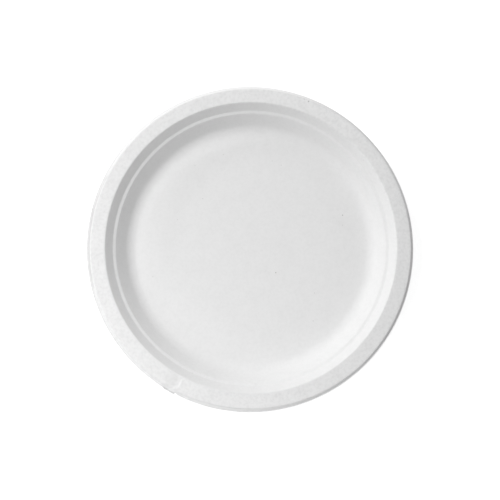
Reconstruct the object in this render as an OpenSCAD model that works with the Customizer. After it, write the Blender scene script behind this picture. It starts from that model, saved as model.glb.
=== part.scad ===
// Round dinner plate pressed from paper pulp as one thin sheet.
// The whole plate is one section turned about Z: a crowned floor, a rounded foot, a wall with
// a stacking ledge halfway up, a sloping rim, a turned-down skirt and a narrow lip.
// The section is drawn as the middle line of the sheet, a chain of corners that are each
// rounded by a bend, and the two faces of the sheet lie half a wall above and below it.
// A worn round die then trims the sheet, a little off its middle, and leaves a burr and a nick.
// The origin is on the axis of the trimmed edge, in the plane of the table under the plate.

/* [Plate] */
// Diameter over the trimmed edge
plate_d = 260; // [230:1:300]
// Height of the rim's crest above the table
plate_h = 20; // [18:0.5:26]
// Thickness of the pressed sheet
wall = 0.8; // [0.5:0.05:1]

/* [Floor] */
// Rise of the floor's middle above its edge
crown = 1; // [0.6:0.1:1.6]
// Steepest slope of the crowned floor, in degrees
crown_slope = 3; // [3:0.5:6]
// Width of the flat ring under the floor that stands on the table
foot_w = 1.6; // [1:0.1:3]
// Radius of the bend from the foot up into the wall
foot_bend = 11.5; // [9:0.5:13]

/* [Wall] */
// Slope of the wall above and below the ledge, in degrees
wall_slope = 49; // [46:1:52]
// Width of the stacking ledge
ledge_w = 2.2; // [1.5:0.1:3]
// Slope of the stacking ledge, in degrees
ledge_slope = 19; // [0:1:26]
// Distance from the ledge out to the rim, measured flat
ledge_to_rim = 5.6; // [4.5:0.1:6.5]
// Radius of the small bends on both sides of the ledge
ledge_bend = 0.9; // [0.7:0.1:1.2]

/* [Rim] */
// Width of the rim from the wall to the plate's edge
rim_w = 13.9; // [11:0.1:18]
// Slope of the rim down to its edge, in degrees
rim_slope = 5; // [2:1:14]
// Radius of the bend from the wall over to the rim
crest_bend = 1.2; // [0.8:0.1:3]
// Radius of the bend from the rim down to the skirt
edge_bend = 1; // [0.7:0.1:1.2]

/* [Skirt and lip] */
// Height of the turned-down skirt
skirt_h = 1.6; // [1.4:0.1:3]
// Slope of the skirt, in degrees
skirt_slope = 45; // [40:1:60]
// Mean width of the trimmed lip below the skirt
lip_w = 1.4; // [1.3:0.1:3]
// Slope of the lip, in degrees
lip_slope = 12; // [0:1:20]
// Radius of the bend from the skirt out to the lip
lip_bend = 0.6; // [0.55:0.05:0.8]
// How far the pressed well lies off the centre of the trimmed edge
trim_off = 1; // [0:0.1:1.2]
// Direction in which the well lies off the centre, in degrees from +X
trim_toward = 21; // [0:1:360]

/* [Damage] */
// Place of the burr on the lip, in degrees from +X
burr_at = 240.5; // [0:0.5:360]
// Length of the burr along the lip
burr_length = 10; // [4:0.5:20]
// How far the burr stands out past the lip
burr_out = 0.5; // [0.2:0.1:1]
// Width of the torn nick at the end of the burr
nick_w = 1.8; // [1:0.1:3]
// Depth of the torn nick
nick_depth = 0.8; // [0.4:0.1:1.2]

/* [Hidden] */

// Steps of a full turn in the preview
turn_steps = 180;
// Farthest that a bend's chords stray from its true arc
bend_error = 0.003;
// Shares of the floor's sloping stretch that its two soft bends take up
crown_share = 0.85;
toe_share = 0.1;
// Overlap of the burr with the round part of the die
burr_root = 0.4;
// Width of the sheet past the trimmed edge, before it is trimmed
trim_waste = 3;

half_wall = wall / 2;
edge_r = plate_d / 2;
die_h = plate_h + 2 * wall;

// The crest corner lies where its bend comes up to the plate's full height
crest_turn = wall_slope + rim_slope;
crest_tangent = crest_bend * tan(crest_turn / 2);
crest_rise = crest_tangent * sin(wall_slope) - crest_bend * (1 - cos(wall_slope));
crest_r = edge_r - rim_w;
crest_z = plate_h - half_wall + crest_rise;

// The lip and the skirt, from the trimmed edge inwards, and the end of the untrimmed sheet
skirt_foot_r = edge_r - lip_w;
skirt_top_r = skirt_foot_r - skirt_h / tan(skirt_slope);
skirt_top_z = crest_z - (skirt_top_r - crest_r) * tan(rim_slope);
lip_z = skirt_top_z - skirt_h;
sheet_r = edge_r + trim_waste;
sheet_z = lip_z - (sheet_r - skirt_foot_r) * tan(lip_slope);

// The ledge and the foot, from the crest downwards
ledge_out_r = crest_r - ledge_to_rim;
ledge_out_z = crest_z - ledge_to_rim * tan(wall_slope);
ledge_in_r = ledge_out_r - ledge_w;
ledge_in_z = ledge_out_z - ledge_w * tan(ledge_slope);
foot_r = ledge_in_r - (ledge_in_z - half_wall) / tan(wall_slope);

// The crowned floor: most of its slope is one wide bend, and a small one levels out at the foot
slope_length = crown / sin(crown_slope);
crown_bend = crown_share * slope_length / tan(crown_slope / 2);
toe_bend = toe_share * slope_length / tan(crown_slope / 2);
toe_r = foot_r - foot_bend * tan(wall_slope / 2) - foot_w - toe_share * slope_length;
crown_r = toe_r - crown / tan(crown_slope);

// Corners of the sheet's middle line from the axis outwards: [radius, height, bend]
corners = [
    [0, half_wall + crown, 0],
    [crown_r, half_wall + crown, crown_bend],
    [toe_r, half_wall, toe_bend],
    [foot_r, half_wall, foot_bend],
    [ledge_in_r, ledge_in_z, ledge_bend],
    [ledge_out_r, ledge_out_z, ledge_bend],
    [crest_r, crest_z, crest_bend],
    [skirt_top_r, skirt_top_z, edge_bend],
    [skirt_foot_r, lip_z, lip_bend],
    [sheet_r, sheet_z, 0]
];

// Direction from one corner to the next, in degrees
function heading(from, to) = atan2(to.y - from.y, to.x - from.x);

// Points of the bend at a corner, moved to the left of the line by shift
function bend(before, corner, after, shift) =
    let (
        start = heading(before, corner),
        turn = heading(corner, after) - start,
        side = sign(turn),
        tangent = corner.z * tan(abs(turn) / 2),
        centre = [
            corner.x - tangent * cos(start) - side * corner.z * sin(start),
            corner.y - tangent * sin(start) + side * corner.z * cos(start)
        ],
        radius = side * corner.z - shift,
        chord_turn = 2 * acos(1 - bend_error / corner.z),
        steps = ceil(abs(turn) / chord_turn)
    )
    [for (i = [0:steps]) let (a = start + turn * i / steps) centre + radius * [sin(a), -cos(a)]];

// One face of the sheet, from the axis outwards
function face(shift) =
    let (last = len(corners) - 1)
    concat(
        [[corners[0].x, corners[0].y + shift]],
        [for (i = [1:last - 1]) each bend(corners[i - 1], corners[i], corners[i + 1], shift)],
        [[corners[last].x, corners[last].y + shift / cos(lip_slope)]]
    );

function reversed(list) = [for (i = [len(list) - 1:-1:0]) list[i]];

// The sheet as it is pressed, still untrimmed
module pressed_sheet() {
    translate(trim_off * [cos(trim_toward), sin(trim_toward), 0])
        rotate_extrude($fn = turn_steps)
            polygon(concat(face(half_wall), reversed(face(-half_wall))));
}

// Stretch of the lip that is left standing out, where the die cuts badly
module burr() {
    sweep = burr_length / edge_r * 180 / PI;
    rotate([0, 0, burr_at - sweep / 2])
        rotate_extrude(angle = sweep, $fn = turn_steps)
            translate([edge_r - burr_root, 0])
                square([burr_root + burr_out, die_h]);
}

// Torn notch in the lip where the burr ends
module nick() {
    past_burr = (burr_length + nick_w) / 2 / edge_r * 180 / PI;
    rotate([0, 0, burr_at + past_burr])
        translate([edge_r, 0, 0])
            linear_extrude(die_h)
                polygon([[-nick_depth, 0], [burr_out, -nick_w], [burr_out, nick_w]]);
}

// Everything that the worn trimming die leaves of the sheet
module trimming_die() {
    translate([0, 0, -wall])
        difference() {
            union() {
                cylinder(h = die_h, r = edge_r, $fn = turn_steps);
                burr();
            }
            nick();
        }
}

module plate() {
    color([0.95, 0.95, 0.94])
        intersection() {
            pressed_sheet();
            trimming_die();
        }
}

plate();
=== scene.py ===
"""A round dinner plate pressed from white paper pulp, with the pale stage it is photographed on.

The plate is one sheet: a section line is worked out from its sizes, turned about Z by a
Geometry Nodes tree, and given the small faults of a pressed and trimmed sheet.
"""

import math

import bpy
from bpy.props import FloatProperty, FloatVectorProperty, IntProperty, PointerProperty
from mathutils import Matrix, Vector


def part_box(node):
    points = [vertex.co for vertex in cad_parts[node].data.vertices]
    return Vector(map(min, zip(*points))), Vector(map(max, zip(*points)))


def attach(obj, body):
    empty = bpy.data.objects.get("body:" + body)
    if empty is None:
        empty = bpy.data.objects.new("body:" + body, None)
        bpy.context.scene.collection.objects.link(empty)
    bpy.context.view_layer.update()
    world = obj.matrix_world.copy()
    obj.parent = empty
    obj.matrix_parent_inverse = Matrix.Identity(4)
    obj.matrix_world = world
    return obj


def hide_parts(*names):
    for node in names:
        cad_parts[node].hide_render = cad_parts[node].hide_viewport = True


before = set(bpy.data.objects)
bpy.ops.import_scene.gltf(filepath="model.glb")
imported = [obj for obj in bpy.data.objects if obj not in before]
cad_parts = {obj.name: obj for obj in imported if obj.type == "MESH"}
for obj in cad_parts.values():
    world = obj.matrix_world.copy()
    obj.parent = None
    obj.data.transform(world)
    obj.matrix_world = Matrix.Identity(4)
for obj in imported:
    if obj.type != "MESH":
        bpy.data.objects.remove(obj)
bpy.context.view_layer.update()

bl_info = {
    "name": "Pressed Pulp Plate",
    "version": (1, 0, 0),
    "blender": (4, 5, 0),
    "location": "View3D > Sidebar > Plate",
    "description": "Makes a dinner plate pressed from paper pulp and the stage it lies on",
    "category": "Add Mesh",
}

PLATE_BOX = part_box("plate")
PLATE_D = PLATE_BOX[1][0] - PLATE_BOX[0][0]
PLATE_H = PLATE_BOX[1][2] - PLATE_BOX[0][2]
MM = 0.001

# Shares of the floor's sloping stretch that its two soft bends take up
CROWN_SHARE = 0.85
TOE_SHARE = 0.1

# Fineness of the mesh: how far a bend's chords stray from its arc, the longest steps along
# the two faces, the steps round the plate, which are close together over the burr's arc, the
# gap that is closed at the seam and poles, and the angle from which an edge is shaded sharp
BEND_ERROR = 0.008 * MM
UPPER_STEP = 2.2 * MM
UNDER_STEP = 3.5 * MM
FINE_STEPS = 56
COARSE_STEPS = 384
FINE_ARC = math.radians(12)
MERGE_GAP = 0.001 * MM
SHARP_ANGLE = math.radians(50)

# Burr: how far inside its ends it is bare and full
BURR_ENDS = (-0.4 * MM, 0.6 * MM)

# Crease over the rim: how far inside the edge it comes nearest to the nick, how far short of
# the nick's middle that is, how fast it bows back from there, per metre, and half its width.
# Then the dent beside it: its length along the rim and the width in which it fades at the
# crest.
CREASE_IN = 10.6 * MM
CREASE_BEFORE_NICK = 0.5 * MM
CREASE_BOW = 60.0
CREASE_HALF_W = 0.7 * MM
DENT_LENGTH = 9 * MM
DENT_FADE = 2 * MM

# Curl of the floor: the least and greatest radius at which it has fully risen, the width in
# which it rises, the angle from its middle to where it lies farthest in, the cosines between
# which it rises at its two ends, and the radii at which it is bare and full towards the foot
CURL_LEAST_R = 75 * MM
CURL_GREATEST_R = 90 * MM
CURL_W = 18 * MM
CURL_TURN = math.radians(43)
CURL_ENDS = (0.35, 0.75)
CURL_FALL = (93 * MM, 84 * MM)

# Rim: how much of its rise is left between the two raised sides, how far outside the crest
# the rise starts, and how far inside the crest the long waves start
LEVEL_SHARE = 0.2
RISE_START = 1.5 * MM
WAVE_START = 12 * MM

# Fineness of the noise in the shape and the finish, in cells to a metre, and of the long
# waves, in cells to the radius
WAVE_CELLS = 1.3
LUMP_CELLS = 130.0
FRAY_CELLS = 420.0
CLOUD_CELLS = 90.0
GRAIN_CELLS = 420.0
FIBRE_CELLS = 1600.0
SPECK_CELLS = 110.0

# Mottling: the noise values that are plain and fully thin, the shares of thin pulp that
# clouds make everywhere and grains make on the floor and on the rim, and half the width in
# which the floor's finish turns into the rim's
THIN_RANGE = (0.35, 0.75)
CLOUD_SHARE = 0.3
FLOOR_SHARE = 0.5
RIM_SHARE = 0.85
RIM_BLEND = 1 * MM

# Grain: how many times as deep it is on the rim, and the shares of the fine fibres and of
# the screen's print in it
RIM_GRAIN = 1.9
FIBRE_SHARE = 0.5
SCREEN_SHARE = 0.4

# Darker patch at the dent: how far inside the edge and before the burr's middle it lies, the
# distances from its middle at which it is bare and full, and its share of the thin pulp tone
DENT_PATCH_IN = 9.8 * MM
DENT_PATCH_BEFORE_BURR = math.radians(1.5)
DENT_PATCH_FADE = (7.5 * MM, 2.5 * MM)
DENT_PATCH_SHARE = 0.6

# Bands along the edge, as the distances inside it at which each is bare and full: the skirt's two
# sides, the trimmed edge, the burr's painted shade and the lip's painted light
SKIRT_INSIDE = (3.0 * MM, 2.4 * MM)
SKIRT_OUTSIDE = (1.1 * MM, 1.7 * MM)
TRIMMED_BAND = (1.5 * MM, 0.9 * MM)
BURR_SHADE_BAND = (1.3 * MM, 0.5 * MM)
PAINTED_LIGHT_BAND = (2.6 * MM, 1.8 * MM)

# Sides where the skirt is grey, with painted shade on the far side, and where painted light makes
# the lip and skirt paler: the direction of each, and the shares of the edge's radius along it
# at which the tone is bare and full. A negative share is on the opposite side.
GREY_SIDE = (-1, 0.13, 0)
GREY_NEAR = (0.90, 0.95)
SHADE_FAR = (-0.92, -0.98)
PAINTED_LIGHT_SIDE = (-0.34, 0.94, 0)
PAINTED_LIGHT_NEAR = (0.5, 0.9)
PAINTED_LIGHT_FAR = (-0.7, -0.93)

# Shares of the trimmed edge's tone, which also carries painted shade: all round, on the near grey
# side, as painted shade on the far side and at the burr, and the distances from the burr's middle,
# in burr lengths, at which the burr's painted shade is bare and full
TRIMMED_SHARE = 0.1
GREY_NEAR_SHARE = 0.75
SHADE_FAR_SHARE = 0.4
BURR_SHADE_SHARE = 0.55
BURR_SHADE_REACH = (0.6, 0.5)

# Flecks that show: the radius of the faintest, how much wider the darkest is, the radius
# inside which they are darkest, and how far their outline wanders
FLECK_R = 0.5 * MM
FLECK_GROWTH = 0.5 * MM
FLECK_CORE = 0.25 * MM
FLECK_WOBBLE = 0.5 * MM

# Faint flecks at random: a cell's random value and the distance from its middle, in cells, at
# which its fleck is bare and full, and how dark it is
SPECK_CHOICE = (0.86, 0.96)
SPECK_FADE = (0.07, 0.02)
SPECK_DARK = 0.22

# Dark fibres and flecks that show on the floor and rim: across and up from the plate's
# centre, in millimetres, then how dark each one is, from 0 to 1
FLECKS = (
    (20.9, -18.8, 1.0),
    (75.1, 27.9, 0.9),
    (52.1, -35.2, 0.6),
    (-38.2, 41.3, 0.55),
    (-44.6, 68.5, 0.55),
    (25.4, 68.7, 0.55),
    (-58.6, 24.3, 0.55),
    (-78.3, -22.1, 0.55),
    (-21.6, 77.3, 0.55),
    (50.9, -57.7, 0.55),
    (75.0, 19.8, 0.55),
    (47.0, 117.5, 1.0),
    (43.8, 119.4, 0.5),
)


class PlateSection(bpy.types.PropertyGroup):
    """Sizes of the pressed section, from the axis to the lip"""

    diameter: FloatProperty(
        name="Diameter", description="Width over the trimmed lip", default=PLATE_D, unit="LENGTH")
    height: FloatProperty(
        name="Height", description="Height of the rim's crest", default=PLATE_H, unit="LENGTH")
    wall: FloatProperty(
        name="Wall", description="Thickness of the sheet", default=0.8 * MM, unit="LENGTH")
    crown: FloatProperty(
        name="Crown", description="Rise of the floor's middle", default=1 * MM, unit="LENGTH")
    crown_slope: FloatProperty(
        name="Crown slope", description="Steepest slope of the floor",
        default=math.radians(3), subtype="ANGLE")
    foot_w: FloatProperty(
        name="Foot width", description="Flat ring that the plate stands on",
        default=1.6 * MM, unit="LENGTH")
    foot_bend: FloatProperty(
        name="Foot bend", description="Bend from the foot up into the wall",
        default=11.5 * MM, unit="LENGTH")
    wall_slope: FloatProperty(
        name="Wall slope", description="Slope of the wall above and below the ledge",
        default=math.radians(49), subtype="ANGLE")
    ledge_w: FloatProperty(
        name="Ledge width", description="Width of the stacking ledge",
        default=2.2 * MM, unit="LENGTH")
    ledge_slope: FloatProperty(
        name="Ledge slope", description="Slope of the stacking ledge",
        default=math.radians(19), subtype="ANGLE")
    ledge_to_rim: FloatProperty(
        name="Ledge to rim", description="Flat distance from the ledge out to the rim",
        default=5.6 * MM, unit="LENGTH")
    ledge_bend: FloatProperty(
        name="Ledge bend", description="Small bends on both sides of the ledge",
        default=0.9 * MM, unit="LENGTH")
    rim_w: FloatProperty(
        name="Rim width", description="Distance from the wall to the plate's edge",
        default=13.9 * MM, unit="LENGTH")
    rim_slope: FloatProperty(
        name="Rim slope", description="Slope of the rim down to its edge",
        default=math.radians(5), subtype="ANGLE")
    crest_bend: FloatProperty(
        name="Crest bend", description="Bend from the wall over to the rim",
        default=1.2 * MM, unit="LENGTH")
    edge_bend: FloatProperty(
        name="Edge bend", description="Bend from the rim down to the skirt",
        default=1.0 * MM, unit="LENGTH")
    skirt_h: FloatProperty(
        name="Skirt height", description="Height of the turned-down skirt",
        default=1.6 * MM, unit="LENGTH")
    skirt_slope: FloatProperty(
        name="Skirt slope", description="Slope of the skirt",
        default=math.radians(45), subtype="ANGLE")
    lip_slope: FloatProperty(
        name="Lip slope", description="Slope of the trimmed lip",
        default=math.radians(12), subtype="ANGLE")
    lip_w: FloatProperty(
        name="Lip width", description="Mean width of the trimmed lip",
        default=1.4 * MM, unit="LENGTH")
    lip_bend: FloatProperty(
        name="Lip bend", description="Bend from the skirt out to the lip",
        default=0.6 * MM, unit="LENGTH")


class PlateFaults(bpy.types.PropertyGroup):
    """Small faults of a sheet that was pressed, dried and trimmed"""

    trim_shift: FloatVectorProperty(
        name="Trim shift", description="How far the pressed sheet lies off the trimmed edge",
        default=(0.68 * MM, 0.15 * MM, 0), size=3, unit="LENGTH")
    well_shift: FloatVectorProperty(
        name="Well shift", description="How far the well lies off the middle of the rim",
        default=(0.07 * MM, 0.8 * MM, 0), size=3, unit="LENGTH")
    rim_lift: FloatProperty(
        name="Rim lift", description="Rise of the dried rim's edge on two opposite sides",
        default=0.8 * MM, unit="LENGTH")
    rim_lift_at: FloatProperty(
        name="Rim lift place", description="Middle of one of the sides where the rim has risen",
        default=math.radians(105), subtype="ANGLE")
    wave: FloatProperty(
        name="Rim wave", description="How far the dried rim sinks in places",
        default=0.15 * MM, unit="LENGTH")
    relief: FloatProperty(
        name="Relief", description="Depth of the uneven surface of the pulp",
        default=0.05 * MM, unit="LENGTH")
    fray: FloatProperty(
        name="Fray", description="Roughness of the trimmed edge", default=0.12 * MM, unit="LENGTH")
    burr_at: FloatProperty(
        name="Burr place", description="Place of the burr round the lip",
        default=math.radians(240.5), subtype="ANGLE")
    burr_length: FloatProperty(
        name="Burr length", description="Length of the burr along the lip",
        default=10 * MM, unit="LENGTH")
    burr_out: FloatProperty(
        name="Burr width", description="How far the burr stands out past the lip",
        default=0.5 * MM, unit="LENGTH")
    burr_drop: FloatProperty(
        name="Burr drop", description="How far the burr is bent down",
        default=1.6 * MM, unit="LENGTH")
    nick_w: FloatProperty(
        name="Nick width", description="Width of the torn nick at the end of the burr",
        default=1.8 * MM, unit="LENGTH")
    nick_depth: FloatProperty(
        name="Nick depth", description="Depth of the torn nick", default=0.8 * MM, unit="LENGTH")
    dent: FloatProperty(
        name="Dent", description="Depth of the dent that ends at a crease over the rim",
        default=0.42 * MM, unit="LENGTH")
    warp: FloatProperty(
        name="Floor warp", description="Rise of the floor in a curl along its edge",
        default=0.75 * MM, unit="LENGTH")
    warp_at: FloatProperty(
        name="Warp place", description="Middle of the side where the floor has warped",
        default=math.radians(142), subtype="ANGLE")
    seed: IntProperty(name="Seed", description="Seed of the uneven surface", default=7)


class PulpFinish(bpy.types.PropertyGroup):
    """Colours and texture of the pulp, with the colours that paint light and shade on it"""

    tone: FloatVectorProperty(
        name="Pulp", description="Colour of the bleached pulp",
        default=(0.848, 0.848, 0.848), size=3, subtype="COLOR", min=0, max=1)
    thin_tone: FloatVectorProperty(
        name="Thin pulp", description="Colour where the pulp lies thinner",
        default=(0.80, 0.80, 0.80), size=3, subtype="COLOR", min=0, max=1)
    # Painted light: the whole rim is given this lighter colour
    painted_light_rim_tone: FloatVectorProperty(
        name="Rim", description="Colour of the pulp on the rim, where it is pressed smoother",
        default=(0.878, 0.878, 0.878), size=3, subtype="COLOR", min=0, max=1)
    # Painted light: the lip paler on the side towards the key lamp, and the skirt paler in its
    # shade on the opposite side
    painted_light_tone: FloatVectorProperty(
        name="Pale lip", description="Colour of the lip on the side where it is palest",
        default=(0.95, 0.95, 0.95), size=3, subtype="COLOR", min=0, max=1)
    # Darker tone of the rough trimmed edge, used as well for painted shade on the far side of the
    # skirt and on the bent-down burr
    edge_and_shade_tone: FloatVectorProperty(
        name="Trimmed edge", description="Colour of the rough pulp along the trimmed edge",
        default=(0.66, 0.66, 0.66), size=3, subtype="COLOR", min=0, max=1)
    fleck_tone: FloatVectorProperty(
        name="Flecks", description="Colour of dark fibres in the pulp",
        default=(0.35, 0.34, 0.33), size=3, subtype="COLOR", min=0, max=1)
    grain: FloatProperty(
        name="Grain", description="Depth of the fibre grain", default=0.03 * MM, unit="LENGTH")
    screen_pitch: FloatProperty(
        name="Screen pitch", description="Pitch of the forming screen printed on the underside",
        default=1.1 * MM, unit="LENGTH")


class StageSettings(bpy.types.PropertyGroup):
    """Place of the camera and the width that it takes in"""

    distance: FloatProperty(
        name="Camera distance", description="Distance from the camera to the plate",
        default=1.0, unit="LENGTH")
    tilt: FloatProperty(
        name="Camera tilt", description="Angle of the view off straight down",
        default=math.radians(4.5), subtype="ANGLE")
    field: FloatProperty(
        name="Field", description="Width of table that the picture covers",
        default=404.8 * MM, unit="LENGTH")
    aim_point: FloatVectorProperty(
        name="Aim point", description="Point of the table in the middle of the picture",
        default=(0.07 * MM, -0.31 * MM, 0), size=3, unit="LENGTH")


def section_corners(s):
    """Corners of the sheet's middle line from the axis to the lip: radius, height, bend"""
    half_wall = s.wall / 2
    edge_r = s.diameter / 2
    crest_tangent = s.crest_bend * math.tan((s.wall_slope + s.rim_slope) / 2)
    bend_rise = s.crest_bend * (1 - math.cos(s.wall_slope))
    crest_rise = crest_tangent * math.sin(s.wall_slope) - bend_rise
    crest_r = edge_r - s.rim_w
    crest_z = s.height - half_wall + crest_rise
    skirt_foot_r = edge_r - s.lip_w
    skirt_top_r = skirt_foot_r - s.skirt_h / math.tan(s.skirt_slope)
    skirt_top_z = crest_z - (skirt_top_r - crest_r) * math.tan(s.rim_slope)
    lip_z = skirt_top_z - s.skirt_h
    ledge_out_r = crest_r - s.ledge_to_rim
    ledge_out_z = crest_z - s.ledge_to_rim * math.tan(s.wall_slope)
    ledge_in_r = ledge_out_r - s.ledge_w
    ledge_in_z = ledge_out_z - s.ledge_w * math.tan(s.ledge_slope)
    foot_r = ledge_in_r - (ledge_in_z - half_wall) / math.tan(s.wall_slope)
    slope_length = s.crown / math.sin(s.crown_slope)
    crown_bend = CROWN_SHARE * slope_length / math.tan(s.crown_slope / 2)
    toe_bend = TOE_SHARE * slope_length / math.tan(s.crown_slope / 2)
    foot_tangent = s.foot_bend * math.tan(s.wall_slope / 2)
    toe_r = foot_r - foot_tangent - s.foot_w - TOE_SHARE * slope_length
    crown_r = toe_r - s.crown / math.tan(s.crown_slope)
    return [
        (0, half_wall + s.crown, 0),
        (crown_r, half_wall + s.crown, crown_bend),
        (toe_r, half_wall, toe_bend),
        (foot_r, half_wall, s.foot_bend),
        (ledge_in_r, ledge_in_z, s.ledge_bend),
        (ledge_out_r, ledge_out_z, s.ledge_bend),
        (crest_r, crest_z, s.crest_bend),
        (skirt_top_r, skirt_top_z, s.edge_bend),
        (skirt_foot_r, lip_z, s.lip_bend),
        (edge_r, lip_z - s.lip_w * math.tan(s.lip_slope), 0),
    ]


def bend_points(before, corner, after, shift):
    """Points of the bend at a corner, moved to the left of the line by shift"""
    start = math.atan2(corner[1] - before[1], corner[0] - before[0])
    turn = math.atan2(after[1] - corner[1], after[0] - corner[0]) - start
    side = math.copysign(1, turn)
    bend = corner[2]
    tangent = bend * math.tan(abs(turn) / 2)
    centre_r = corner[0] - tangent * math.cos(start) - side * bend * math.sin(start)
    centre_z = corner[1] - tangent * math.sin(start) + side * bend * math.cos(start)
    radius = side * bend - shift
    steps = math.ceil(abs(turn) / (2 * math.acos(1 - BEND_ERROR / bend)))
    angles = [start + turn * i / steps for i in range(steps + 1)]
    return [(centre_r + radius * math.sin(a), centre_z - radius * math.cos(a)) for a in angles]


def filled(points, longest):
    """The same line with points added where two lie more than the longest gap apart"""
    line = [points[0]]
    for last, point in zip(points, points[1:]):
        cuts = math.ceil(math.dist(last, point) / longest)
        for i in range(1, cuts + 1):
            share = i / cuts
            line.append(tuple(a + (b - a) * share for a, b in zip(last, point)))
    return line


def sheet_face(corners, shift, longest):
    """One face of the sheet, from the axis to the lip"""
    points = [(corners[0][0], corners[0][1] + shift)]
    for before, corner, after in zip(corners, corners[1:], corners[2:]):
        points += bend_points(before, corner, after, shift)
    (last_r, last_z, _), (end_r, end_z, _) = corners[-2:]
    end_slope = math.atan2(end_z - last_z, end_r - last_r)
    points.append((end_r, end_z + shift / math.cos(end_slope)))
    return filled(points, longest)


def outline_mesh(s):
    """The section's outline as a chain of edges: upper face outwards, underside back again"""
    corners = section_corners(s)
    upper = sheet_face(corners, s.wall / 2, UPPER_STEP)
    under = sheet_face(corners, -s.wall / 2, UNDER_STEP)
    points = upper + under[::-1]
    mesh = bpy.data.meshes.new("plate outline")
    edges = [(i, i + 1) for i in range(len(points) - 1)]
    mesh.from_pydata([(r, 0, z) for r, z in points], edges, [])
    below = mesh.attributes.new("underside", "FLOAT", "POINT")
    below.data.foreach_set("value", [0.0] * len(upper) + [1.0] * len(under))
    return mesh


class Nodes:
    """Adds nodes to a tree and links them, so that a chain of nodes reads as a formula"""

    def __init__(self, tree):
        self.tree = tree

    def add(self, kind, inputs=None, **settings):
        node = self.tree.nodes.new(kind)
        for name, value in settings.items():
            setattr(node, name, value)
        for key, value in (inputs or {}).items():
            if isinstance(value, bpy.types.NodeSocket):
                self.tree.links.new(value, node.inputs[key])
            else:
                node.inputs[key].default_value = value
        return node

    def math(self, operation, *values):
        node = self.add("ShaderNodeMath", dict(enumerate(values)), operation=operation)
        return node.outputs[0]

    def product(self, first, *others):
        """All values multiplied"""
        for other in others:
            first = self.math("MULTIPLY", first, other)
        return first

    def vector(self, operation, *values, output="Vector"):
        node = self.add("ShaderNodeVectorMath", dict(enumerate(values)), operation=operation)
        return node.outputs[output]

    def scaled(self, vector, factor):
        node = self.add("ShaderNodeVectorMath", {0: vector, "Scale": factor}, operation="SCALE")
        return node.outputs["Vector"]

    def ramp(self, value, low, high, to_low=0.0, to_high=1.0, kind="SMOOTHSTEP"):
        """Value taken from low and high to to_low and to_high, and held there past both ends"""
        inputs = {
            "Value": value,
            "From Min": low,
            "From Max": high,
            "To Min": to_low,
            "To Max": to_high,
        }
        node = self.add("ShaderNodeMapRange", inputs, interpolation_type=kind)
        return node.outputs["Result"]

    def xyz(self, x=0.0, y=0.0, z=0.0):
        return self.add("ShaderNodeCombineXYZ", {0: x, 1: y, 2: z}).outputs[0]

    def noise(self, place, scale, detail, seed):
        inputs = {"Vector": place, "W": seed, "Scale": scale, "Detail": detail}
        node = self.add("ShaderNodeTexNoise", inputs, noise_dimensions="4D")
        return node.outputs[0]

    def mixed(self, factor, first, second):
        """Colour from first to second as the factor goes from 0 to 1"""
        node = self.add("ShaderNodeMix", {0: factor, 6: first, 7: second}, data_type="RGBA")
        return node.outputs[2]


PLATE_INPUTS = (
    ("Fine steps", "NodeSocketInt"),
    ("Coarse steps", "NodeSocketInt"),
    ("Fine arc", "NodeSocketFloat"),
    ("Burr place", "NodeSocketFloat"),
    ("Crest radius", "NodeSocketFloat"),
    ("Edge radius", "NodeSocketFloat"),
    ("Lip width", "NodeSocketFloat"),
    ("Trim shift", "NodeSocketVector"),
    ("Well shift", "NodeSocketVector"),
    ("Rim lift", "NodeSocketFloat"),
    ("Rim lift place", "NodeSocketFloat"),
    ("Rim wave", "NodeSocketFloat"),
    ("Relief", "NodeSocketFloat"),
    ("Fray", "NodeSocketFloat"),
    ("Burr length", "NodeSocketFloat"),
    ("Burr width", "NodeSocketFloat"),
    ("Burr drop", "NodeSocketFloat"),
    ("Nick width", "NodeSocketFloat"),
    ("Nick depth", "NodeSocketFloat"),
    ("Dent", "NodeSocketFloat"),
    ("Floor warp", "NodeSocketFloat"),
    ("Warp place", "NodeSocketFloat"),
    ("Seed", "NodeSocketInt"),
    ("Material", "NodeSocketMaterial"),
)


def at_index(n, outline, value, index, kind):
    """Value of the outline's point at an index"""
    inputs = {"Geometry": outline, "Value": value, "Index": index}
    node = n.add("GeometryNodeSampleIndex", inputs, data_type=kind, domain="POINT")
    return node.outputs[0]


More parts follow.
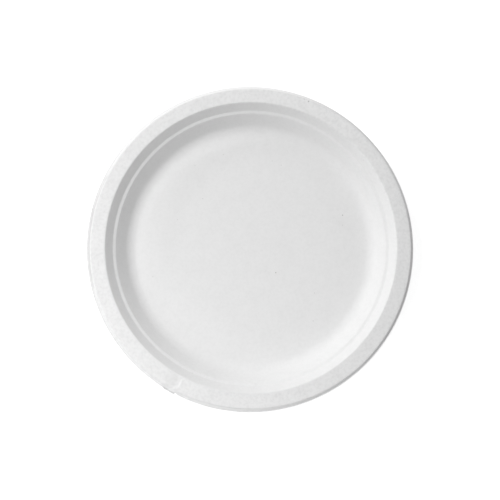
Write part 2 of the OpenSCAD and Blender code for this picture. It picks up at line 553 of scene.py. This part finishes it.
def turned(n, outline, given):
    """The outline turned about Z and closed, with its columns closer together at the burr"""
    size = n.add("GeometryNodeAttributeDomainSize", {"Geometry": outline}, component="MESH")
    rows = size.outputs["Point Count"]
    steps = n.math("ADD", given["Fine steps"], given["Coarse steps"])
    columns = n.math("ADD", steps, 1.0)
    grid = n.add("GeometryNodeMeshGrid", {"Vertices X": columns, "Vertices Y": rows})
    grid = grid.outputs["Mesh"]
    index = n.add("GeometryNodeInputIndex").outputs[0]
    column = n.math("FLOOR", n.math("DIVIDE", index, rows))
    row = n.math("MODULO", index, rows)
    fine = n.math("MINIMUM", column, given["Fine steps"])
    coarse = n.math("SUBTRACT", column, fine)
    fine_step = n.math("DIVIDE", given["Fine arc"], given["Fine steps"])
    coarse_arc = n.math("SUBTRACT", math.tau, given["Fine arc"])
    coarse_step = n.math("DIVIDE", coarse_arc, given["Coarse steps"])
    start = n.math("MULTIPLY_ADD", given["Fine arc"], -0.5, given["Burr place"])
    turn = n.math("MULTIPLY_ADD", coarse, coarse_step, start)
    turn = n.math("MULTIPLY_ADD", fine, fine_step, turn)

    place = n.add("GeometryNodeInputPosition").outputs[0]
    split = n.add("ShaderNodeSeparateXYZ", {0: at_index(n, outline, place, row, "FLOAT_VECTOR")})
    radius, height = split.outputs["X"], split.outputs["Z"]
    around = n.xyz(n.product(radius, n.math("COSINE", turn)),
                   n.product(radius, n.math("SINE", turn)), height)
    below = n.add("GeometryNodeInputNamedAttribute", {"Name": "underside"}, data_type="FLOAT")
    below = at_index(n, outline, below.outputs[0], row, "FLOAT")
    mesh = n.add(
        "GeometryNodeStoreNamedAttribute", {"Geometry": grid, "Name": "underside", "Value": below},
        data_type="FLOAT", domain="POINT").outputs[0]
    mesh = n.add("GeometryNodeSetPosition", {"Geometry": mesh, "Position": around}).outputs[0]
    merged = n.add("GeometryNodeMergeByDistance", {"Geometry": mesh, "Distance": MERGE_GAP})
    return n.add("GeometryNodeFlipFaces", {"Mesh": merged.outputs[0]}).outputs[0]


def moved(n, mesh, offset):
    """The mesh with its points moved by an offset"""
    return n.add("GeometryNodeSetPosition", {"Geometry": mesh, "Offset": offset}).outputs[0]


def facing_to(n, outwards, turn):
    """Cosine of the angle between each place's direction and one given as a turn round Z"""
    side = n.xyz(n.math("COSINE", turn), n.math("SINE", turn))
    return n.vector("DOT_PRODUCT", outwards, side, output="Value")


def burr_offset(n, given, place, radius, outwards, on_lip):
    """Offset of the badly trimmed stretch: a burr, the nick at its end, and a creased dent"""
    split = n.add("ShaderNodeSeparateXYZ", {0: place})
    turn = n.math("ARCTAN2", split.outputs["Y"], split.outputs["X"])
    turn = n.math("WRAP", n.math("SUBTRACT", turn, given["Burr place"]), math.pi, -math.pi)
    along = n.product(turn, given["Edge radius"])
    half = n.product(given["Burr length"], 0.5)

    within = n.math("SUBTRACT", half, n.math("ABSOLUTE", along))
    burr = n.product(n.ramp(within, *BURR_ENDS), on_lip)
    nick_place = n.math("MULTIPLY_ADD", given["Nick width"], 0.5, half)
    from_nick = n.math("ABSOLUTE", n.math("SUBTRACT", along, nick_place))
    nick = n.product(n.ramp(from_nick, given["Nick width"], 0.0, kind="LINEAR"), on_lip)
    out = n.math("SUBTRACT", n.product(burr, given["Burr width"]),
                 n.product(nick, given["Nick depth"]))

    across = n.math("SUBTRACT", radius, n.math("SUBTRACT", given["Edge radius"], CREASE_IN))
    bow = n.product(n.math("POWER", across, 2.0), CREASE_BOW)
    farthest = n.math("SUBTRACT", nick_place, CREASE_BEFORE_NICK)
    past_crease = n.math("SUBTRACT", along, n.math("SUBTRACT", farthest, bow))
    dent_end = n.math("ADD", given["Crest radius"], DENT_FADE)
    dent = n.product(
        n.ramp(past_crease, CREASE_HALF_W, -CREASE_HALF_W),
        n.ramp(past_crease, -DENT_LENGTH, -CREASE_HALF_W),
        n.ramp(radius, given["Crest radius"], dent_end))
    drop = n.math("SUBTRACT", n.product(dent, given["Dent"], -1.0),
                  n.product(burr, given["Burr drop"]))
    return n.vector("ADD", n.scaled(outwards, out), n.xyz(z=drop))


def curl_offset(n, given, radius, outwards):
    """Offset of the curl in the floor, which lies farther in towards one of its ends"""
    facing = facing_to(n, outwards, given["Warp place"])
    past_middle = facing_to(n, outwards, n.math("ADD", given["Warp place"], CURL_TURN))
    curl_r = n.ramp(past_middle, 0.0, 1.0, CURL_GREATEST_R, CURL_LEAST_R, kind="LINEAR")
    curl = n.product(
        n.ramp(n.math("SUBTRACT", radius, curl_r), -CURL_W, 0.0),
        n.ramp(radius, *CURL_FALL),
        n.ramp(facing, *CURL_ENDS),
        given["Floor warp"])
    return n.xyz(z=curl)


def rim_height(n, given, radius, outwards, lip_start):
    """Height that drying gives the rim: a rise on two opposite sides, and long waves down"""
    facing = facing_to(n, outwards, given["Rim lift place"])
    share = n.ramp(n.product(facing, facing), 0.0, 1.0, LEVEL_SHARE, 1.0, kind="LINEAR")
    rise_start = n.math("ADD", given["Crest radius"], RISE_START)
    rise = n.product(
        n.ramp(radius, rise_start, lip_start, kind="LINEAR"), share, given["Rim lift"])
    wave_start = n.math("SUBTRACT", given["Crest radius"], WAVE_START)
    sink = n.product(
        n.noise(outwards, WAVE_CELLS, detail=0.0, seed=given["Seed"]),
        n.ramp(radius, wave_start, given["Edge radius"]),
        given["Rim wave"])
    return n.math("SUBTRACT", rise, sink)


def plate_tree():
    """Geometry Nodes tree that turns the section and gives the sheet its small faults"""
    tree = bpy.data.node_groups.new("Pressed plate", "GeometryNodeTree")
    tree.interface.new_socket("Outline", in_out="INPUT", socket_type="NodeSocketGeometry")
    for name, kind in PLATE_INPUTS:
        tree.interface.new_socket(name, in_out="INPUT", socket_type=kind)
    tree.interface.new_socket("Plate", in_out="OUTPUT", socket_type="NodeSocketGeometry")
    n = Nodes(tree)
    given = n.add("NodeGroupInput").outputs
    mesh = turned(n, given["Outline"], given)

    # The pressed sheet lies a little off the trimmed edge, and its well a little off its rim
    place = n.add("GeometryNodeInputPosition").outputs[0]
    flat = n.vector("MULTIPLY", place, (1, 1, 0))
    radius = n.vector("LENGTH", flat, output="Value")
    outwards = n.vector("NORMALIZE", flat)
    lip_start = n.math("SUBTRACT", given["Edge radius"], given["Lip width"])
    on_lip = n.ramp(radius, lip_start, given["Edge radius"])
    inside_lip = n.ramp(radius, lip_start, given["Edge radius"], 1.0, 0.0, kind="LINEAR")
    in_well = n.ramp(radius, given["Crest radius"], lip_start, 1.0, 0.0, kind="LINEAR")
    mesh = moved(n, mesh, n.vector(
        "ADD", n.scaled(given["Trim shift"], inside_lip), n.scaled(given["Well shift"], in_well)))

    # The badly trimmed stretch, and the floor's curl
    mesh = moved(n, mesh, burr_offset(n, given, place, radius, outwards, on_lip))
    mesh = moved(n, mesh, curl_offset(n, given, radius, outwards))

    # The dried rim, and the trimmed edge, which is frayed inwards
    fray = n.noise(place, FRAY_CELLS, detail=2.0, seed=given["Seed"])
    trim = n.product(fray, on_lip, given["Fray"], -1.0)
    lift = rim_height(n, given, radius, outwards, lip_start)
    mesh = moved(n, mesh, n.vector("ADD", n.xyz(z=lift), n.scaled(outwards, trim)))

    # Uneven surface, always pressed into the sheet
    normal = n.add("GeometryNodeInputNormal").outputs[0]
    lumps = n.noise(place, LUMP_CELLS, detail=3.0, seed=given["Seed"])
    mesh = moved(n, mesh, n.scaled(normal, n.product(lumps, given["Relief"], -1.0)))

    angle = n.add("GeometryNodeInputMeshEdgeAngle").outputs["Unsigned Angle"]
    sharp = n.add("FunctionNodeCompare", {0: angle, 1: SHARP_ANGLE}, operation="GREATER_THAN")
    mesh = n.add("GeometryNodeSetShadeSmooth", {"Geometry": mesh}).outputs[0]
    edges = {"Geometry": mesh, "Selection": sharp.outputs[0], "Shade Smooth": False}
    mesh = n.add("GeometryNodeSetShadeSmooth", edges, domain="EDGE").outputs[0]
    mesh = n.add("GeometryNodeRealizeInstances", {"Geometry": mesh}).outputs[0]
    finished = n.add("GeometryNodeSetMaterial", {"Geometry": mesh, "Material": given["Material"]})
    n.add("NodeGroupOutput", {"Plate": finished.outputs[0]})
    return tree


def new_material(name):
    """An empty node material and the helper that fills it"""
    material = bpy.data.materials.new(name)
    material.use_nodes = True
    material.node_tree.nodes.clear()
    return material, Nodes(material.node_tree)


def distance_to(n, place, point):
    """Distance from each place to one point"""
    return n.vector("DISTANCE", place, point, output="Value")


def fleck_mask(n, place, flat, wobble):
    """Share of dark fibre at each place: the flecks that show, and a few faint ones at random"""
    cells = n.add("ShaderNodeTexVoronoi", {"Vector": place, "Scale": SPECK_CELLS}).outputs
    chosen = n.add("ShaderNodeSeparateColor", {0: cells["Color"]}).outputs["Red"]
    mask = n.product(
        n.ramp(cells["Distance"], *SPECK_FADE, 0.0, SPECK_DARK), n.ramp(chosen, *SPECK_CHOICE))
    for x, y, dark in FLECKS:
        away = distance_to(n, flat, (x * MM, y * MM, 0))
        away = n.math("MULTIPLY_ADD", wobble, FLECK_WOBBLE, away)
        fleck = n.ramp(away, FLECK_R + FLECK_GROWTH * dark, FLECK_CORE, 0.0, dark)
        mask = n.math("MAXIMUM", mask, fleck)
    return mask


def turned_out(radius, angle):
    """Point at a radius from the axis, in the direction of an angle round Z"""
    return (radius * math.cos(angle), radius * math.sin(angle), 0)


def on_side(n, place, side, radius, shares, full=1.0):
    """How far a place lies towards one side, from bare to full between two shares of a radius"""
    reach = n.vector("DOT_PRODUCT", place, side, output="Value")
    return n.ramp(reach, shares[0] * radius, shares[1] * radius, 0.0, full)


def thin_mask(n, place, flat, grains, on_rim, dent_patch_middle):
    """Share of the thin pulp tone at each place, as clouds and grains, and in a darker patch at the
    dent
    """
    clouds = n.noise(place, CLOUD_CELLS, detail=3.0, seed=1.0)
    clouds = n.ramp(clouds, *THIN_RANGE, 0.0, CLOUD_SHARE)
    speckle = n.product(
        n.ramp(grains, *THIN_RANGE), n.ramp(on_rim, 0.0, 1.0, FLOOR_SHARE, RIM_SHARE))
    dent_patch = n.ramp(distance_to(n, flat, dent_patch_middle), *DENT_PATCH_FADE, 0.0, DENT_PATCH_SHARE)
    return n.math("ADD", n.math("ADD", clouds, speckle), dent_patch)


def edge_masks(n, flat, from_edge, edge_r, faults):
    """Shares of the trimmed edge's tone, with painted shade on the far skirt and at the burr, and
    of painted light on the lip and skirt
    """
    skirt = n.product(n.ramp(from_edge, *SKIRT_INSIDE), n.ramp(from_edge, *SKIRT_OUTSIDE))
    # Grey skirt on the near side, and painted shade deepening the skirt's shadow on the far side
    grey_and_shade = n.math(
        "MAXIMUM",
        on_side(n, flat, GREY_SIDE, edge_r, GREY_NEAR, GREY_NEAR_SHARE),
        on_side(n, flat, GREY_SIDE, edge_r, SHADE_FAR, SHADE_FAR_SHARE))
    # Painted shade on the burr, which is bent down away from the light
    from_burr = distance_to(n, flat, turned_out(edge_r, faults.burr_at))
    burr_reach = [share * faults.burr_length for share in BURR_SHADE_REACH]
    burr_shade = n.product(
        n.ramp(from_burr, *burr_reach), n.ramp(from_edge, *BURR_SHADE_BAND, 0.0, BURR_SHADE_SHARE))
    trimmed = n.product(n.ramp(from_edge, *TRIMMED_BAND), TRIMMED_SHARE)
    trimmed = n.math("MAXIMUM", trimmed, n.product(skirt, grey_and_shade))
    trimmed = n.math("MAXIMUM", trimmed, burr_shade)
    # Painted light: the lip paler on its lit side and the skirt paler on the far side
    pale = n.math(
        "MAXIMUM",
        n.product(n.ramp(from_edge, *PAINTED_LIGHT_BAND), on_side(n, flat, PAINTED_LIGHT_SIDE, edge_r, PAINTED_LIGHT_NEAR)),
        n.product(skirt, on_side(n, flat, PAINTED_LIGHT_SIDE, edge_r, PAINTED_LIGHT_FAR)))
    return trimmed, pale


def screen_print(n, place, pitch):
    """Print of the woven forming screen, on the underside only"""
    below = n.add("ShaderNodeAttribute", attribute_name="underside").outputs["Fac"]
    split = n.add("ShaderNodeSeparateXYZ", {0: place}).outputs
    wires = [n.math("SINE", n.product(split[axis], math.tau / pitch)) for axis in ("X", "Y")]
    return n.product(*wires, below, SCREEN_SHARE)


def pulp_material(finish, section, faults):
    """Bleached pulp: mottled, faintly flecked, with fibre grain above and a screen's print below,
    and painted light and shade on the rim, lip and skirt
    """
    material, n = new_material("pressed pulp")
    edge_r = section.diameter / 2
    crest_r = edge_r - section.rim_w
    place = n.add("ShaderNodeTexCoord").outputs["Object"]
    flat = n.vector("MULTIPLY", place, (1, 1, 0))
    from_axis = n.vector("LENGTH", flat, output="Value")
    on_rim = n.ramp(from_axis, crest_r - RIM_BLEND, crest_r + RIM_BLEND)
    grains = n.noise(place, GRAIN_CELLS, detail=3.0, seed=2.0)

    dent_patch_middle = turned_out(edge_r - DENT_PATCH_IN, faults.burr_at - DENT_PATCH_BEFORE_BURR)
    thin = thin_mask(n, place, flat, grains, on_rim, dent_patch_middle)
    from_edge = n.math("SUBTRACT", edge_r, from_axis)
    trimmed, pale = edge_masks(n, flat, from_edge, edge_r, faults)
    # Painted light: the whole rim takes a lighter colour than the floor
    colour = n.mixed(on_rim, (*finish.tone, 1), (*finish.painted_light_rim_tone, 1))
    # Then the thin pulp, the trimmed edge with its painted shade, the painted light on lip and
    # skirt, and the dark flecks
    for share, tone in (
            (thin, finish.thin_tone),
            (trimmed, finish.edge_and_shade_tone),
            (pale, finish.painted_light_tone),
            (fleck_mask(n, place, flat, grains), finish.fleck_tone)):
        colour = n.mixed(share, colour, (*tone, 1))

    fibres = n.noise(place, FIBRE_CELLS, detail=3.0, seed=3.0)
    height = n.product(
        n.math("MULTIPLY_ADD", fibres, FIBRE_SHARE, grains),
        n.ramp(on_rim, 0.0, 1.0, 1.0, RIM_GRAIN, kind="LINEAR"))
    height = n.math("ADD", height, screen_print(n, place, finish.screen_pitch))
    bump = n.add(
        "ShaderNodeBump", {"Height": height, "Distance": finish.grain, "Strength": 1.0}).outputs[0]
    surface = {"Base Color": colour, "Roughness": 0.88, "Specular IOR Level": 0.3, "Normal": bump}
    shader = n.add("ShaderNodeBsdfPrincipled", surface).outputs[0]
    n.add("ShaderNodeOutputMaterial", {"Surface": shader})
    return material


def set_input(modifier, tree, name, value):
    """Sets a tree's named input on its modifier, by the socket's identifier"""
    modifier[tree.interface.items_tree[name].identifier] = value


class PLATE_OT_press(bpy.types.Operator):
    """Press the plate from its section and finish it in pulp"""

    bl_idname = "plate.press"
    bl_label = "Press plate"

    def execute(self, context):
        section = context.scene.plate_section
        faults = context.scene.plate_faults
        blank = bpy.data.objects.new("plate blank", outline_mesh(section))
        context.collection.objects.link(blank)
        tree = plate_tree()
        modifier = blank.modifiers.new("Pressed plate", "NODES")
        modifier.node_group = tree
        sizes = {
            "Fine steps": FINE_STEPS,
            "Coarse steps": COARSE_STEPS,
            "Fine arc": FINE_ARC,
            "Burr place": faults.burr_at,
            "Crest radius": section.diameter / 2 - section.rim_w,
            "Edge radius": section.diameter / 2,
            "Lip width": section.lip_w,
            "Trim shift": faults.trim_shift,
            "Well shift": faults.well_shift,
            "Rim lift": faults.rim_lift,
            "Rim lift place": faults.rim_lift_at,
            "Rim wave": faults.wave,
            "Relief": faults.relief,
            "Fray": faults.fray,
            "Burr length": faults.burr_length,
            "Burr width": faults.burr_out,
            "Burr drop": faults.burr_drop,
            "Nick width": faults.nick_w,
            "Nick depth": faults.nick_depth,
            "Dent": faults.dent,
            "Floor warp": faults.warp,
            "Warp place": faults.warp_at,
            "Seed": faults.seed,
            "Material": pulp_material(context.scene.pulp_finish, section, faults),
        }
        for name, value in sizes.items():
            set_input(modifier, tree, name, value)
        blank.update_tag()
        depsgraph = context.evaluated_depsgraph_get()
        mesh = bpy.data.meshes.new_from_object(blank.evaluated_get(depsgraph))
        bpy.data.objects.remove(blank)
        if not mesh.polygons:
            raise RuntimeError("the section was not turned into a plate")
        mesh.name = "pressed_plate"
        plate = bpy.data.objects.new("pressed_plate", mesh)
        context.collection.objects.link(plate)
        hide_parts("plate")
        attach(plate, "root")
        return {"FINISHED"}


# Lamps: name, direction round the plate and height above the table in degrees, distance and
# width in metres, power in watts
LAMPS = (
    ("key lamp", 137, 48, 2.6, 0.5, 34.4),
    ("near lamp", 225, 41, 0.5, 0.4, 0.73),
    ("low lamp left", 120, 20, 2.6, 0.6, 7.1),
    ("low lamp right", 30, 20, 2.6, 0.6, 4.2),
)
# Strength of the even daylight, and of the table's own glow in what is seen directly
DAYLIGHT = 0.288
TABLE_GLOW = 0.74
TABLE_TONE = (0.85, 0.85, 0.85, 1)
WHITE = (1, 1, 1, 1)
# Half the table's width, and the gap that keeps it clear of the plate's foot
TABLE_HALF = 2.0
TABLE_GAP = 0.1 * MM


def aim(thing, direction, height, distance):
    """Puts a lamp or camera at a direction and height round the plate, looking at its middle"""
    around = math.radians(direction)
    up = math.radians(height)
    away = Vector((math.cos(around) * math.cos(up), math.sin(around) * math.cos(up), math.sin(up)))
    thing.location = away * distance
    thing.rotation_euler = away.to_track_quat("Z", "Y").to_euler()


def seen_directly(n):
    """1 for rays from the camera and those that a surface reflects or lets through, 0 for others"""
    seen = n.add("ShaderNodeLightPath").outputs
    through = n.math("MAXIMUM", seen["Is Glossy Ray"], seen["Is Transmission Ray"])
    return n.math("MAXIMUM", seen["Is Camera Ray"], through)


def table_material():
    """Pale table, white to the camera where it is fully lit, that keeps the plate's shadow"""
    material, n = new_material("pale table")
    matt = n.add("ShaderNodeBsdfDiffuse", {"Color": TABLE_TONE}).outputs[0]
    strength = n.product(seen_directly(n), TABLE_GLOW)
    glow = n.add("ShaderNodeEmission", {"Color": WHITE, "Strength": strength}).outputs[0]
    shader = n.add("ShaderNodeAddShader", {0: matt, 1: glow}).outputs[0]
    n.add("ShaderNodeOutputMaterial", {"Surface": shader})
    return material


def light_world(scene):
    """Even daylight from all round, white where the camera sees past the table"""
    world = bpy.data.worlds.new("daylight")
    world.use_nodes = True
    world.node_tree.nodes.clear()
    n = Nodes(world.node_tree)
    strength = n.ramp(seen_directly(n), 0.0, 1.0, DAYLIGHT, 1.0, kind="LINEAR")
    glow = n.add("ShaderNodeBackground", {"Color": WHITE, "Strength": strength}).outputs[0]
    n.add("ShaderNodeOutputWorld", {"Surface": glow})
    scene.world = world


class PLATE_OT_stage(bpy.types.Operator):
    """Set the pale table, the lamps and the camera"""

    bl_idname = "plate.stage"
    bl_label = "Set stage"

    def execute(self, context):
        scene = context.scene
        settings = scene.plate_stage
        corners = [(-1, -1), (1, -1), (1, 1), (-1, 1)]
        points = [(x * TABLE_HALF, y * TABLE_HALF, -TABLE_GAP) for x, y in corners]
        mesh = bpy.data.meshes.new("table")
        mesh.from_pydata(points, [], [(0, 1, 2, 3)])
        mesh.materials.append(table_material())
        table = bpy.data.objects.new("table", mesh)
        scene.collection.objects.link(table)

        light_world(scene)
        for name, direction, height, distance, width, watts in LAMPS:
            light = bpy.data.lights.new(name, "AREA")
            light.shape = "DISK"
            light.size = width
            light.energy = watts
            lamp = bpy.data.objects.new(name, light)
            aim(lamp, direction, height, distance)
            lamp.visible_camera = False
            scene.collection.objects.link(lamp)

        camera = bpy.data.objects.new("camera", bpy.data.cameras.new("camera"))
        aim(camera, -90, 90 - math.degrees(settings.tilt), settings.distance)
        camera.location += Vector(settings.aim_point)
        camera.data.lens = camera.data.sensor_width * settings.distance / settings.field
        scene.collection.objects.link(camera)
        scene.camera = camera
        scene.view_settings.view_transform = "Standard"
        return {"FINISHED"}


class PLATE_PT_panel(bpy.types.Panel):
    """Sizes of the plate and the buttons that make it"""

    bl_idname = "PLATE_PT_panel"
    bl_label = "Pulp Plate"
    bl_space_type = "VIEW_3D"
    bl_region_type = "UI"
    bl_category = "Plate"

    def draw(self, context):
        scene = context.scene
        for group in SETTINGS:
            settings = getattr(scene, group)
            box = self.layout.box()
            for name in settings.__annotations__:
                box.prop(settings, name)
        self.layout.operator(PLATE_OT_press.bl_idname)
        self.layout.operator(PLATE_OT_stage.bl_idname)


SETTINGS = {
    "plate_section": PlateSection,
    "plate_faults": PlateFaults,
    "pulp_finish": PulpFinish,
    "plate_stage": StageSettings,
}
CLASSES = (*SETTINGS.values(), PLATE_OT_press, PLATE_OT_stage, PLATE_PT_panel)


def register():
    for cls in CLASSES:
        bpy.utils.register_class(cls)
    for name, cls in SETTINGS.items():
        setattr(bpy.types.Scene, name, PointerProperty(type=cls))


def unregister():
    for name in SETTINGS:
        delattr(bpy.types.Scene, name)
    for cls in reversed(CLASSES):
        bpy.utils.unregister_class(cls)


def main():
    register()
    bpy.ops.plate.press()
    bpy.ops.plate.stage()


if __name__ == "__main__":
    main()
